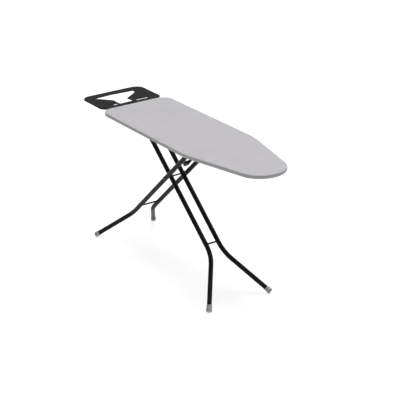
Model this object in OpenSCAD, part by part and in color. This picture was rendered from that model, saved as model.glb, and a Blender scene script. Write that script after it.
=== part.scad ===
// Folding ironing board: a padded, cloth-covered perforated steel top on a
// pair of crossed tubular legs, with a pressed steel iron rest at the square
// end. +X runs toward the rounded nose, +Y is the left side, +Z is up and the
// floor is z = 0. The origin lies on the floor under the middle of the whole
// object, from the iron rest's back edge to the tip of the nose.

/* [Board] */
// Length of the board from its square end to the tip of the nose
board_l = 1200; // [1150:5:1300]
// Width of the board over its straight sides
board_w = 370; // [350:1:420]
// Height of the ironing surface above the floor at rest
board_h = 724; // [724:1:724]
// Depth of the board's visible edge band
band_h = 18; // [16:1:22]
// Distance from the square end to where the sides start to taper
taper_x = 770; // [700:5:830]
// Radius of the nose
nose_r = 112; // [95:1:125]
// Radius of the two corners at the square end
corner_r = 61; // [40:1:80]
// Radius that blends each straight side into its taper
blend_r = 440; // [300:10:600]
// Thickness of the cover's cloth
cloth_t = 1; // [0.6:0.1:1.4]
// Thickness of the felt pad
pad_t = 5; // [4:0.5:6]
// Width of the cover's turned-under hem
hem_w = 28; // [20:1:34]

/* [Iron rest] */
// Length of the rest plate along the board
rest_l = 235; // [200:1:260]
// Width of the rest plate across the board
rest_w = 332; // [280:1:350]
// Thickness of the rest plate's sheet
rest_t = 1.2; // [1:0.1:2]
// Depth of the rest plate's turned-down rim
rest_rim = 5.5; // [5:0.5:10]

/* [Legs] */
// Distance along each leg from its upper axis to the scissor pivot
arm = 340; // [330:1:345]
// Distance from the square end to the front legs' hinge axis
hinge_x = 122; // [115:1:130]
// Distance between the two upper axes at rest
span = 519; // [515:1:523]
// Outer diameter of the front legs' tubes
front_d = 22; // [21:0.5:22]
// Outer diameter of the rear legs' tubes
rear_d = 22; // [21:0.5:22]
// Wall thickness of the leg tubes
wall = 1.2; // [1:0.1:1.6]
// Distance from the middle plane to each front tube's centre
front_y = 33; // [33:0.5:33.5]
// Distance from the middle plane to each rear tube's centre
rear_y = 56.5; // [56.5:0.5:57]
// Bend radius at the centre of the leg tubes
bend_r = 200; // [120:10:220]
// Radial running clearance of the pivots
run = 0.05; // [0.03:0.01:0.08]

/* [Slide] */
// Diameter of the slide axle
slide_d = 10; // [9:0.5:11]
// Outer diameter of the glide bushes
bush_d = 14; // [13:0.5:15]
// Clearance of a glide bush above and below in its slot
slot_gap = 0.3; // [0.3:0.1:0.6]
// Pitch of the height rack's notches
notch_pitch = 20; // [16:1:24]
// Distance from the slide axle to the tip of the lever's nose
nose_reach = 13; // [12:0.5:13.5]

/* [Hidden] */
$fn = 48;

// shift that puts the origin under the middle of the whole object
mid_x = (board_l - rest_l - 5) / 2;
// layers of the board, top down
z_top = board_h;
z_pad = z_top - cloth_t;
z_deck = z_pad - pad_t;
deck_t = 1;
z_under = z_deck - deck_t;
z_low = z_top - band_h;
// upper axes of both leg pairs
z_axis = z_top - 38;
ang = acos(span / 2 / arm);
slide_x = hinge_x + span;
piv = [hinge_x + span / 2, 0, z_axis - arm * sin(ang)];
// travel of the slide axle from fully raised to folded flat
slide_lo = hinge_x + 2 * arm * cos(58.2) - 8;
slide_hi = hinge_x + 2 * arm * cos(3.8) + 10;
axle_d = 8;
ext = 13;                       // tube beyond its upper axis
rail_y = 71.5;                  // inner face of each guide rail
rail_t = 2;
// directions of the legs' straight upper parts
uf = [cos(ang), 0, -sin(ang)];
ur = [-cos(ang), 0, -sin(ang)];
// where the straight parts would meet the splayed lower parts
front_corner = 780;
rear_corner = 800;
// where each foot's axis meets the floor (right-hand side negative)
front_foot = [906.8, 175, 0];
rear_foot = [-182, 174.6, 0];

black = [0.17, 0.165, 0.17];
grey = [0.5, 0.49, 0.5];
cloth = [0.77, 0.76, 0.77];

// ---- vectors -------------------------------------------------------------
function unit(v) = v / norm(v);
function side(v, s) = [v[0], s * v[1], v[2]];
// Euler angles that carry x, y and z onto three given unit vectors
function euler(cx, cy, cz) = [atan2(cy[2], cz[2]), asin(-cx[2]), atan2(cx[1], cx[0])];

// ---- board outline, moved inward by d ------------------------------------
function arc(c, r, a0, a1, n) = [for (i = [0:n]) let (a = a0 + (a1 - a0) * i / n)
  c + r * [cos(a), sin(a)]];
tap = let (dx = board_l - nose_r - taper_x, dy = board_w / 2, D = norm([dx, dy]))
  atan2(dy, dx) - asin(nose_r / D);
bend_cx = taper_x - blend_r * tan(tap / 2);
function outline(d) = concat(
  arc([board_l - nose_r, 0], nose_r - d, tap - 90, 90 - tap, 30),
  arc([bend_cx, board_w / 2 - blend_r], blend_r - d, 90 - tap, 90, 5),
  arc([corner_r, board_w / 2 - corner_r], corner_r - d, 90, 180, 12),
  arc([corner_r, corner_r - board_w / 2], corner_r - d, 180, 270, 12),
  arc([bend_cx, blend_r - board_w / 2], blend_r - d, 270, 270 + tap, 5));
// half width of the board at x, moved inward by d
function half_w(x, d) = x < taper_x ? board_w / 2 - d :
  board_w / 2 - d - (x - taper_x) * tan(tap) - 3;

module slab(d, z0, z1) translate([0, 0, z0]) linear_extrude(z1 - z0) polygon(outline(d));
module ring(d0, d1, z0, z1) translate([0, 0, z0]) linear_extrude(z1 - z0)
  difference() { polygon(outline(d0)); polygon(outline(d1)); }

// rounded polygon: every corner of pts gets radius r, in n steps
function fillet(pts, r, n) = let (m = len(pts)) [for (i = [0:m - 1]) let (
    p = pts[i], a = unit(pts[(i + m - 1) % m] - p), b = unit(pts[(i + 1) % m] - p),
    h = acos(a * b) / 2, q = p + unit(a + b) * r / sin(h),
    s = p + a * r / tan(h) - q, e = p + b * r / tan(h) - q,
    a0 = atan2(s[1], s[0]), t = atan2(e[1], e[0]) - a0,
    w = t > 180 ? t - 360 : t < -180 ? t + 360 : t)
  for (k = [0:n]) q + r * [cos(a0 + w * k / n), sin(a0 + w * k / n)]];

// rod of radius r from point p along unit vector u
module rod(p, u, len, r) translate(p) rotate([0, acos(u[2]), atan2(u[1], u[0])])
  cylinder(h = len, r = r);
// rod along Y, centred on the middle plane at x, z from y0 to y1
module yrod(x, z, y0, y1, r) translate([x, y0, z]) rotate([-90, 0, 0]) cylinder(h = y1 - y0, r = r);

// ---- leg tube ------------------------------------------------------------
// straight from p along u, bent at radius bend_r, then straight to q; the bend
// swells by 0.2 mm as a drawn bend does
module leg_solid(p, u, len, corner, q, r, end_cut, start_cut) {
  d = unit(q - corner);
  beta = acos(u * d);
  tl = bend_r * tan(beta / 2);
  n = unit(cross(u, d));
  e2 = cross(n, u);
  p1 = corner - u * tl;
  c = p1 + e2 * bend_r;
  p2 = corner + d * tl;
  rod(p + u * start_cut, u, norm(p1 - p) - start_cut + 1, r);
  translate(c) rotate(euler(-e2, u, n)) rotate_extrude(angle = beta) translate([bend_r, 0]) circle(r = r + 0.2);
  rod(p2 - d, d, norm(q - p2) - end_cut + 1, r);
}
module leg_tube(origin, u, corner_s, foot, y, dia, s, bores) {
  base = [origin[0], s * y, origin[2]];
  corner = base + u * corner_s;
  q = side(foot, s);
  difference() {
    leg_solid(base, u, 0, corner, q, dia / 2, cap_end + 6, -ext);
    leg_solid(base, u, 0, corner, q, dia / 2 - wall, cap_end + 5, -ext - 1);
    for (b = bores) translate(base + u * b[0]) rotate([90, 0, 0]) cylinder(h = dia + 4, r = b[1], center = true);
  }
}
function foot_dir(origin, u, corner_s, foot, y) =
  unit(foot - ([origin[0], y, origin[2]] + u * corner_s));
// plastic barrel on the end of a leg, slightly flared, its end rounded and its lower edge flat on the floor
cap_end = 13.6;                 // from the barrel's end to where the leg's axis meets the floor
cap_l = 30;
module foot_cap(foot, d, s, dia) {
  q = side(foot, s);
  e = side(d, s);
  r = dia / 2 + 3.1;
  tilt = [0, acos(e[2]), atan2(e[1], e[0])];
  difference() {
    intersection() {
      translate(q - e * (cap_end + cap_l)) rotate(tilt)
        rotate_extrude() polygon(concat([[0, 0], [dia / 2 + 0.9, 0], [dia / 2 + 1.6, 1.2], [dia / 2 + 1.8, 12], [dia / 2 + 2.8, 22]],
          [for (k = [0:5]) [r - 3.5 + 3.5 * cos(k * 18), cap_l - 3.5 + 3.5 * sin(k * 18)]], [[0, cap_l]]));
      translate([q[0] - 60, q[1] - 60, 0]) cube([120, 120, 60]);
    }
    translate(q - e * (cap_end + cap_l + 1)) rotate(tilt) cylinder(h = cap_l + 1 - 5.8, r = dia / 2 + 0.1);
  }
}
// plastic plug in the open upper end of a tube
module tube_plug(origin, u, y, dia, s) {
  b = [origin[0], s * y, origin[2]] - u * ext;
  translate(b) rotate([0, acos(-u[2]), atan2(-u[1], -u[0])]) rotate_extrude()
    polygon([[0, -6], [dia / 2 - wall - 0.1, -6], [dia / 2 - wall - 0.1, 0.05],
      [dia / 2 - 0.1, 0.05], [dia / 2 - 0.6, 1.6], [dia / 2 - 2.4, 2.4], [0, 2.6]]);
}

hinge_p = [hinge_x, 0, z_axis];
slide_p = [slide_x, 0, z_axis];
fdir = foot_dir(hinge_p, uf, front_corner, front_foot, front_y);
rdir = foot_dir(slide_p, ur, rear_corner, rear_foot, rear_y);
front_bar_s = 722;
rear_bar_s = 706;

// ---- board ---------------------------------------------------------------
module cover() color(cloth) translate([-mid_x, 0, 0]) difference() {
  slab(0, z_low, z_top);
  slab(cloth_t, z_low + cloth_t, z_top - cloth_t);
  slab(hem_w, z_low - 1, z_low + cloth_t + 1);
}
module felt_pad() color([0.85, 0.84, 0.8]) translate([-mid_x, 0, 0]) slab(cloth_t + 0.2, z_deck, z_pad);
// round vents in staggered rows through the deck
module mesh_deck() color([0.6, 0.6, 0.62]) translate([-mid_x, 0, z_under]) linear_extrude(deck_t)
  difference() {
    polygon(outline(cloth_t + 0.4));
    for (i = [0:27], j = [-3:3]) let (x = 52 + i * 40, y = j * 44 + (i % 2) * 22 - 11)
      if (abs(y) < half_w(x, 26) && norm([max(0, x - board_l + nose_r), y]) < nose_r + 60
          && x < 1150 - abs(y) * 0.35) translate([x, y]) circle(r = 9, $fn = 24);
  }
module perimeter_rim() color([0.6, 0.6, 0.62]) translate([-mid_x, 0, 0]) union() {
  ring(cloth_t + 0.4, cloth_t + 1.6, z_low + cloth_t + 0.3, z_under);
  ring(cloth_t + 1.6, cloth_t + 10, z_low + cloth_t + 0.3, z_low + cloth_t + 1.5);
}
module hem_elastic() color([0.9, 0.9, 0.9]) translate([-mid_x, 0, 0])
  ring(hem_w, hem_w + 2.4, z_low - 0.7, z_low + 1.7);
// shallow channel across the underside of the deck
module rib(x) color([0.6, 0.6, 0.62]) translate([x - mid_x, 0, z_under - 8]) {
  w = half_w(x + 12, 14);
  translate([0, w, 0]) rotate([90, 0, 0]) linear_extrude(2 * w) polygon([[-16, 8], [-16, 6.8], [-9.2, 6.8],
    [-9.2, 0], [9.2, 0], [9.2, 6.8], [16, 6.8], [16, 8], [8, 8], [8, 1.2], [-8, 1.2], [-8, 8]]);
}
module cross_rib_rear() rib(215);
module cross_rib_middle() rib(400);
module cross_rib_front() rib(860);
module cross_rib_nose() rib(1030);
ear_y = 17.5;
// folded bracket that carries the hinge axle
module hinge_bracket() color(black) translate([hinge_x - mid_x, 0, 0]) difference() {
  union() {
    translate([-26, -42, z_under - 1.5]) cube([52, 84, 1.5]);
    for (s = [-1, 1]) translate([0, s * (ear_y + 1), 0]) rotate([90, 0, 0])
      translate([0, 0, -1]) linear_extrude(2) difference() {
        union() {
          translate([-18, z_axis]) square([36, z_under - z_axis - 0.5]);
          translate([0, z_axis]) intersection() { circle(r = 18); translate([-11.5, -11.5]) square([23, 30]); }
          translate([-11.5, z_axis - 4]) square([23, 10]);
        }
      }
  }
  yrod(0, z_axis, -30, 30, axle_d / 2 + 0.05);
}
// slotted rail that one end of the slide axle runs in
module guide_rail(s) color(black) translate([-mid_x, 0, 0]) {
  x0 = slide_lo - 16;
  x1 = slide_hi + 14;
  h = bush_d / 2 + slot_gap;
  y0 = s > 0 ? rail_y : -rail_y - rail_t;
  difference() {
    union() {
      translate([x0, y0, z_axis - 15]) cube([x1 - x0, rail_t, z_under - z_axis + 15]);
      translate([x0, s > 0 ? rail_y : -rail_y - 16, z_under - 1.5]) cube([x1 - x0, 16, 1.5]);
    }
    translate([slide_lo, y0 - 1, z_axis - h]) cube([slide_hi - slide_lo, rail_t + 2, 2 * h]);
    yrod(slide_lo, z_axis, y0 - 1, y0 + rail_t + 1, h);
    yrod(slide_hi, z_axis, y0 - 1, y0 + rail_t + 1, h);
  }
}
module guide_rail_left() guide_rail(1);
module guide_rail_right() guide_rail(-1);
// toothed bar whose notches the lever's nose drops into
module height_rack() color([0.6, 0.6, 0.62]) translate([-mid_x, 0, 0]) {
  zr = z_axis + nose_reach + 0.4;
  x0 = slide_lo - 10;
  n = floor((slide_x + 70 - x0) / notch_pitch);
  xs = slide_x - floor((slide_x - x0) / notch_pitch - 0.4) * notch_pitch;
  difference() {
    union() {
      translate([x0, -1.5, zr]) cube([slide_x + 70 - x0, 3, z_under - zr - 0.5]);
      translate([x0, -12, z_under - 1.5]) cube([slide_x + 70 - x0, 24, 1.5]);
    }
    for (i = [0:n - 1]) translate([xs + i * notch_pitch, 0, zr]) rotate([90, 0, 0]) translate([0, 0, -3])
      linear_extrude(6) polygon([[-5, -1], [-3.6, 5.5], [0.5, 5.5], [8, -1]]);
  }
}
// round-headed rivets through the deck's brackets, rails and rack
module deck_rivets() color([0.62, 0.62, 0.64]) translate([-mid_x, 0, 0])
  for (p = concat([for (sx = [-1, 1], sy = [-1, 1]) [hinge_x + sx * 18, sy * 34]],
      [for (x = [slide_lo - 4, slide_x - 60, slide_x + 40, slide_hi + 4], s = [-1, 1]) [x, s * (rail_y + 9)]],
      [for (x = [slide_lo + 10, slide_x - 80, slide_x + 60], s = [-1, 1]) [x, s * 7]]))
    translate([p[0], p[1], z_under - 1.5]) rotate([180, 0, 0]) rotate_extrude()
      polygon([[0, 0], [3.4, 0], [3.1, 0.9], [2, 1.6], [0, 1.8]]);

// ---- iron rest -----------------------------------------------------------
rest_z = z_top - 2;
rest_x0 = -5 - rest_l;
function rest_outline(d) = concat(
  arc([-5 - 38, rest_w / 2 - 38], 38 - d, 0, 90, 10),
  arc([rest_x0 + 48, rest_w / 2 - 48], 48 - d, 90, 180, 12),
  arc([rest_x0 + 48, 48 - rest_w / 2], 48 - d, 180, 270, 12),
  arc([-5 - 38, 38 - rest_w / 2], 38 - d, 270, 360, 10));
cut_pts = [[-184, -116], [-190, -12], [-180, 100], [-150, 88], [-91, 12], [-41, 18],
  [-37, -55], [-104, -55], [-136, -78]];
// pressed tray with a shaped opening and two slots
module rest_plate() color(black) translate([-mid_x, 0, 0]) difference() {
  translate([0, 0, rest_z - rest_rim]) linear_extrude(rest_rim) polygon(rest_outline(0));
  translate([0, 0, rest_z - rest_rim - 1]) linear_extrude(rest_rim + 1 - rest_t) polygon(rest_outline(rest_t));
  translate([0, 0, rest_z - 5]) linear_extrude(10) polygon(fillet(cut_pts, 6, 5));
  for (r = [[-92, -68], [36, 100]]) translate([-38, 0, rest_z - 5]) linear_extrude(10) union() {
    translate([-4, r[0] + 4]) square([8, r[1] - r[0] - 8]);
    translate([0, r[0] + 4]) circle(r = 4);
    translate([0, r[1] - 4]) circle(r = 4);
  }
}
// stepped strap from the plate's underside, below the hem, to the deck
module rest_bracket(s) color(black) translate([-mid_x, s * 128 + 11, 0]) rotate([90, 0, 0])
  linear_extrude(22) {
    t = 2.5;
    zp = rest_z - rest_t;
    zl = z_low - 1.4;
    polygon([[-190, zp], [-190, zp - t], [-12, zp - t], [-12, zl - t], [46, zl - t], [46, z_under - t],
      [72, z_under - t], [72, z_under], [43.5, z_under], [43.5, zl], [-9.5, zl], [-9.5, zp]]);
  }
module rest_bracket_left() rest_bracket(1);
module rest_bracket_right() rest_bracket(-1);
module rest_screws() color([0.3, 0.3, 0.31]) translate([-mid_x, 0, 0]) for (s = [-1, 1], q = [-170, -60, 59])
  translate([q, s * 128, q > 0 ? z_under - 2.5 : rest_z - rest_t - 2.5]) rotate([180, 0, 0]) rotate_extrude()
    polygon([[0, 0], [4.2, 0], [4.2, 1], [3, 2.4], [0, 2.9]]);

// ---- hinge at the board --------------------------------------------------
module hinge_axle() color([0.62, 0.62, 0.64]) translate([-mid_x, 0, 0])
  yrod(hinge_x, z_axis, -front_y - 15.4, front_y + 15.4, axle_d / 2);
module cap(x, z, y, s, r) translate([x, y, z]) rotate([s > 0 ? -90 : 90, 0, 0]) children();
// domed caps pressed on an axle's ends
module axle_cap(x, z, y, s, r, bore) cap(x, z, y, s, r) rotate_extrude()
  polygon([[bore, 0], [r, 0], [r, 2.2], [r - 1.2, 4.4], [r - 3.2, 5.6], [0, 6.2], [0, 4.3], [bore, 4.3]]);
module hinge_caps() color(black) translate([-mid_x, 0, 0]) for (s = [-1, 1])
  axle_cap(hinge_x, z_axis, s * (front_y + front_d / 2 + 0.6), s, 7.6, axle_d / 2 + 0.02);
module hinge_washers() color([0.8, 0.8, 0.78]) translate([-mid_x, 0, 0]) for (s = [-1, 1])
  difference() {
    yrod(hinge_x, z_axis, s > 0 ? ear_y + 2.3 : -front_y + front_d / 2 + 0.3, s > 0 ? front_y - front_d / 2 - 0.3 : -ear_y - 2.3, 7.5);
    yrod(hinge_x, z_axis, -30, 30, axle_d / 2 + 0.1);
  }

// ---- front legs ----------------------------------------------------------
module front_tube(s) color(black) translate([-mid_x, 0, 0]) leg_tube(hinge_p, uf, front_corner, front_foot, front_y, front_d, s,
  [[0, axle_d / 2 + run], [arm, axle_d / 2 + run]]);
module front_tube_left() front_tube(1);
module front_tube_right() front_tube(-1);
module front_crossbar() color(black) translate([-mid_x, 0, 0]) {
  p = hinge_p + uf * front_bar_s;
  difference() {
    yrod(p[0], p[2], -front_y, front_y, 4);
    for (s = [-1, 1]) rod([p[0], s * front_y, p[2]] - uf * 30, uf, 60, front_d / 2);
  }
}
module front_tube_plugs() color(black) translate([-mid_x, 0, 0]) for (s = [-1, 1]) tube_plug(hinge_p, uf, front_y, front_d, s);
module front_foot_left() color(grey) translate([-mid_x, 0, 0]) foot_cap(front_foot, fdir, 1, front_d);
module front_foot_right() color(grey) translate([-mid_x, 0, 0]) foot_cap(front_foot, fdir, -1, front_d);

// ---- rear legs -----------------------------------------------------------
module rear_tube(s) color(black) translate([-mid_x, 0, 0]) leg_tube(slide_p, ur, rear_corner, rear_foot, rear_y, rear_d, s,
  [[0, slide_d / 2 + 0.02], [arm, axle_d / 2 + 0.02]]);
module rear_tube_left() rear_tube(1);
module rear_tube_right() rear_tube(-1);
module rear_crossbar() color(black) translate([-mid_x, 0, 0]) {
  p = slide_p + ur * rear_bar_s;
  difference() {
    yrod(p[0], p[2], -rear_y, rear_y, 4);
    for (s = [-1, 1]) rod([p[0], s * rear_y, p[2]] - ur * 30, ur, 60, rear_d / 2);
  }
}
module rear_tube_plugs() color(black) translate([-mid_x, 0, 0]) for (s = [-1, 1]) tube_plug(slide_p, ur, rear_y, rear_d, s);
module rear_foot_left() color(grey) translate([-mid_x, 0, 0]) foot_cap(rear_foot, rdir, 1, rear_d);
module rear_foot_right() color(grey) translate([-mid_x, 0, 0]) foot_cap(rear_foot, rdir, -1, rear_d);
module pivot_axle() color([0.3, 0.3, 0.31]) translate([-mid_x, 0, 0])
  yrod(piv[0], piv[2], -rear_y - 13.4, rear_y + 13.4, axle_d / 2);
module pivot_nuts() color([0.3, 0.3, 0.31]) translate([-mid_x, 0, 0]) for (s = [-1, 1])
  axle_cap(piv[0], piv[2], s * (rear_y + rear_d / 2 + 0.1), s, 7.2, axle_d / 2 + 0.02);
module pivot_washers() color([0.8, 0.8, 0.78]) translate([-mid_x, 0, 0]) for (s = [-1, 1]) {
  y0 = front_y + front_d / 2 + 0.3;
  y1 = rear_y - rear_d / 2 - 0.05;
  difference() {
    yrod(piv[0], piv[2], s > 0 ? y0 : -y1, s > 0 ? y1 : -y0, 8.5);
    yrod(piv[0], piv[2], -60, 60, axle_d / 2 + 0.02);
  }
}
module slide_axle() color([0.62, 0.62, 0.64]) translate([-mid_x, 0, 0])
  yrod(slide_x, z_axis, -rail_y - 8, rail_y + 8, slide_d / 2);
// plastic bushes that carry the slide axle along the rails' slots
module glide_bushes() color([0.85, 0.85, 0.83]) translate([-mid_x, 0, 0]) for (s = [-1, 1]) translate([slide_x, s * rail_y, z_axis])
  rotate([s > 0 ? -90 : 90, 0, 0]) rotate_extrude() polygon([[slide_d / 2 + 0.02, -3.6], [bush_d / 2 + 3, -3.6],
    [bush_d / 2 + 3, -0.5], [bush_d / 2, -0.5], [bush_d / 2, 2.6], [slide_d / 2 + 0.02, 2.6]]);
module slide_caps() color(black) translate([-mid_x, 0, 0]) for (s = [-1, 1])
  axle_cap(slide_x, z_axis, s * (rail_y + 3.8), s, 10.5, slide_d / 2 + 0.02);
module lever_sleeves() color([0.3, 0.3, 0.31]) translate([-mid_x, 0, 0]) for (r = [[-rear_y + rear_d / 2 + 0.1, -6.8], [17.5, rear_y - rear_d / 2 - 0.1]])
  difference() {
    yrod(slide_x, z_axis, r[0], r[1], slide_d / 2 + 1.5);
    yrod(slide_x, z_axis, r[0] - 1, r[1] + 1, slide_d / 2 + 0.02);
  }

// ---- release lever -------------------------------------------------------
lever_l = 198;
// flat arm that turns on the slide axle, with a nose that drops into the rack
module release_lever() color(black) translate([-mid_x, 0, 0]) difference() {
  union() {
    yrod(slide_x, z_axis, -6, 6, 9);
    translate([slide_x, 1.5, z_axis]) rotate([90, 0, 0]) linear_extrude(3) {
      polygon([[-4.2, 0], [-2.2, nose_reach - 0.6], [-1.6, nose_reach], [0.4, nose_reach], [7.6, 0]]);
      rotate(180 + ang) translate([0, -7]) square([lever_l, 14]);
    }
  }
  yrod(slide_x, z_axis, -7, 7, slide_d / 2 + run);
}
// plastic grip moulded round the arm's lower end, wider on the right-hand side
module lever_grip() color([0.06, 0.06, 0.06]) translate([slide_x - mid_x, 0, z_axis]) rotate([0, 90 - ang, 0]) 
  rotate([0, 0, 0]) difference() {
    translate([0, 0, -lever_l - 16]) linear_extrude(32) polygon([for (c = [[5, -0.5, 0], [-5, -0.5, 90], [-5, -16.5, 180], [5, -16.5, 270]], k = [0:4])
      [c[0] + 4 * cos(c[2] + k * 22.5), c[1] + 4 * sin(c[2] + k * 22.5)]]);
    translate([-7.1, -1.6, -lever_l - 0.1]) cube([14.2, 3.2, 40]);
  }
// wire torsion spring round the slide axle, one end on the arm
spring_turns = 4;
function helix(t) = [7.6 * cos(t * 360), 8.4 + 1.9 * t, 7.6 * sin(t * 360)];
module lever_spring() color([0.7, 0.7, 0.72]) translate([slide_x - mid_x, 0, z_axis]) {
  n = spring_turns * 20;
  m = 8;
  r = 0.8;
  pts = [for (i = [0:n]) let (t = i / 20, a = t * 360, p = helix(t), er = [cos(a), 0, sin(a)], ey = [0, 1, 0])
    for (k = [0:m - 1]) p + r * cos(k * 360 / m) * er + r * sin(k * 360 / m) * ey];
  faces = concat([[for (k = [0:m - 1]) k]], [[for (k = [0:m - 1]) n * m + m - 1 - k]],
    [for (i = [0:n - 1], k = [0:m - 1]) [i * m + k, (i + 1) * m + k, (i + 1) * m + (k + 1) % m, i * m + (k + 1) % m]]);
  polyhedron(pts, faces);
}

cover();
felt_pad();
mesh_deck();
perimeter_rim();
hem_elastic();
cross_rib_rear();
cross_rib_middle();
cross_rib_front();
cross_rib_nose();
hinge_bracket();
guide_rail_left();
guide_rail_right();
height_rack();
deck_rivets();
rest_plate();
rest_bracket_left();
rest_bracket_right();
rest_screws();
hinge_axle();
hinge_caps();
front_tube_left();
front_tube_right();
front_crossbar();
front_tube_plugs();
hinge_washers();
front_foot_left();
front_foot_right();
rear_tube_left();
rear_tube_right();
rear_crossbar();
rear_tube_plugs();
pivot_axle();
pivot_nuts();
pivot_washers();
slide_axle();
glide_bushes();
slide_caps();
lever_sleeves();
rear_foot_left();
rear_foot_right();
release_lever();
lever_grip();
lever_spring();
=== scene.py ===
import bpy, bmesh, math
from mathutils import Vector, Matrix, noise, geometry


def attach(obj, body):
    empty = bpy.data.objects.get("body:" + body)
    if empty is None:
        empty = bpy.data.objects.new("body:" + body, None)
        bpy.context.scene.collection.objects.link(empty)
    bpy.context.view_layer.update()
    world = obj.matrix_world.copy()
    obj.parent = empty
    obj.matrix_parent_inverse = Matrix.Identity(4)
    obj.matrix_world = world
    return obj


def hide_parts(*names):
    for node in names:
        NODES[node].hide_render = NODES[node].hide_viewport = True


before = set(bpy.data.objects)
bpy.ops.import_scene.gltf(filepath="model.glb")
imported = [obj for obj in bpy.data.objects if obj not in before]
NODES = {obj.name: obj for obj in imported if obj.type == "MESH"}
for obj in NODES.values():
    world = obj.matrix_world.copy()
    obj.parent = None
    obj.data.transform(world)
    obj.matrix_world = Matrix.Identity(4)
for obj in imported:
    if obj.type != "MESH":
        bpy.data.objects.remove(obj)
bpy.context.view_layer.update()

MM = 0.001
MID = 480.0                      # the row's origin, measured from the square end


# ------------------------------------------------------------------ dimensions
L, W, H = 1200.0, 370.0, 724.0
BAND = 18.0
TAPER_X, NOSE_R, CORNER_R, BLEND_R = 770.0, 112.0, 61.0, 440.0
Z_LOW = H - BAND
Z_PAD = H - 1.0
Z_DECK = Z_PAD - 5.0
Z_UNDER = Z_DECK - 1.0
Z_AX = H - 38.0
ARM, HX, SPAN = 340.0, 122.0, 519.0
ANG = math.acos(SPAN / 2 / ARM)
SX = HX + SPAN
PIV = (HX + SPAN / 2, 0.0, Z_AX - ARM * math.sin(ANG))
UF = Vector((math.cos(ANG), 0, -math.sin(ANG)))
UR = Vector((-math.cos(ANG), 0, -math.sin(ANG)))
EXT, BEND_R = 13.0, 200.0
FY, RY, FD, RD = 33.0, 56.5, 22.0, 22.0
RAIL_Y = 71.5
CAP_END, CAP_L = 13.6, 30.0
FRONT_FOOT, REAR_FOOT = Vector((906.8, 175, 0)), Vector((-182, 174.6, 0))
FRONT_CORNER, REAR_CORNER = 780.0, 800.0


def place(p):
    return Vector(((p[0] - MID) * MM, p[1] * MM, p[2] * MM))


def side(v, s):
    return Vector((v[0], s * v[1], v[2]))


# ------------------------------------------------------------------- materials
def new_mat(name):
    m = bpy.data.materials.new(name)
    m.use_nodes = True
    nt = m.node_tree
    nt.nodes.clear()
    out = nt.nodes.new("ShaderNodeOutputMaterial")
    b = nt.nodes.new("ShaderNodeBsdfPrincipled")
    nt.links.new(b.outputs[0], out.inputs[0])
    return m, nt, b


class Net:
    """Small helper to write node graphs in a few lines."""

    def __init__(self, nt):
        self.nt = nt
        self.co = nt.nodes.new("ShaderNodeTexCoord").outputs["Object"]

    def link(self, a, b):
        self.nt.links.new(a, b)

    def mapping(self, scale, rot=(0, 0, 0), src=None):
        n = self.nt.nodes.new("ShaderNodeMapping")
        n.inputs["Scale"].default_value = scale
        n.inputs["Rotation"].default_value = rot
        self.link(src or self.co, n.inputs["Vector"])
        return n.outputs[0]

    def noise(self, scale, detail=3.0, rough=0.5, vec=None, dist=0.0):
        n = self.nt.nodes.new("ShaderNodeTexNoise")
        n.inputs["Scale"].default_value = scale
        n.inputs["Detail"].default_value = detail
        n.inputs["Roughness"].default_value = rough
        n.inputs["Distortion"].default_value = dist
        self.link(vec or self.co, n.inputs["Vector"])
        return n.outputs["Fac"]

    def voronoi(self, scale, feature="F1", vec=None, out="Distance"):
        n = self.nt.nodes.new("ShaderNodeTexVoronoi")
        n.feature = feature
        n.inputs["Scale"].default_value = scale
        self.link(vec or self.co, n.inputs["Vector"])
        return n.outputs[out]

    def math(self, op, a, b=None, clamp=False):
        n = self.nt.nodes.new("ShaderNodeMath")
        n.operation = op
        n.use_clamp = clamp
        for i, v in enumerate((a, b)):
            if v is None:
                continue
            if isinstance(v, (int, float)):
                n.inputs[i].default_value = v
            else:
                self.link(v, n.inputs[i])
        return n.outputs[0]

    def xyz(self, vec=None):
        n = self.nt.nodes.new("ShaderNodeSeparateXYZ")
        self.link(vec or self.co, n.inputs[0])
        return n.outputs

    def ramp(self, fac, stops):
        n = self.nt.nodes.new("ShaderNodeValToRGB")
        e = n.color_ramp.elements
        while len(e) < len(stops):
            e.new(0.5)
        for el, (p, c) in zip(e, stops):
            el.position = p
            el.color = (*c, 1) if len(c) == 3 else c
        self.link(fac, n.inputs[0])
        return n.outputs[0]

    def mapr(self, fac, a, b, lo, hi):
        n = self.nt.nodes.new("ShaderNodeMapRange")
        for k, v in zip(("From Min", "From Max", "To Min", "To Max"), (a, b, lo, hi)):
            n.inputs[k].default_value = v
        self.link(fac, n.inputs["Value"])
        return n.outputs[0]

    def bump(self, height, strength, distance, normal=None):
        n = self.nt.nodes.new("ShaderNodeBump")
        n.inputs["Strength"].default_value = strength
        n.inputs["Distance"].default_value = distance
        self.link(height, n.inputs["Height"])
        if normal is not None:
            self.link(normal, n.inputs["Normal"])
        return n.outputs[0]


def mix3(c, k):
    return tuple(min(1.0, v * k) for v in c)


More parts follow.
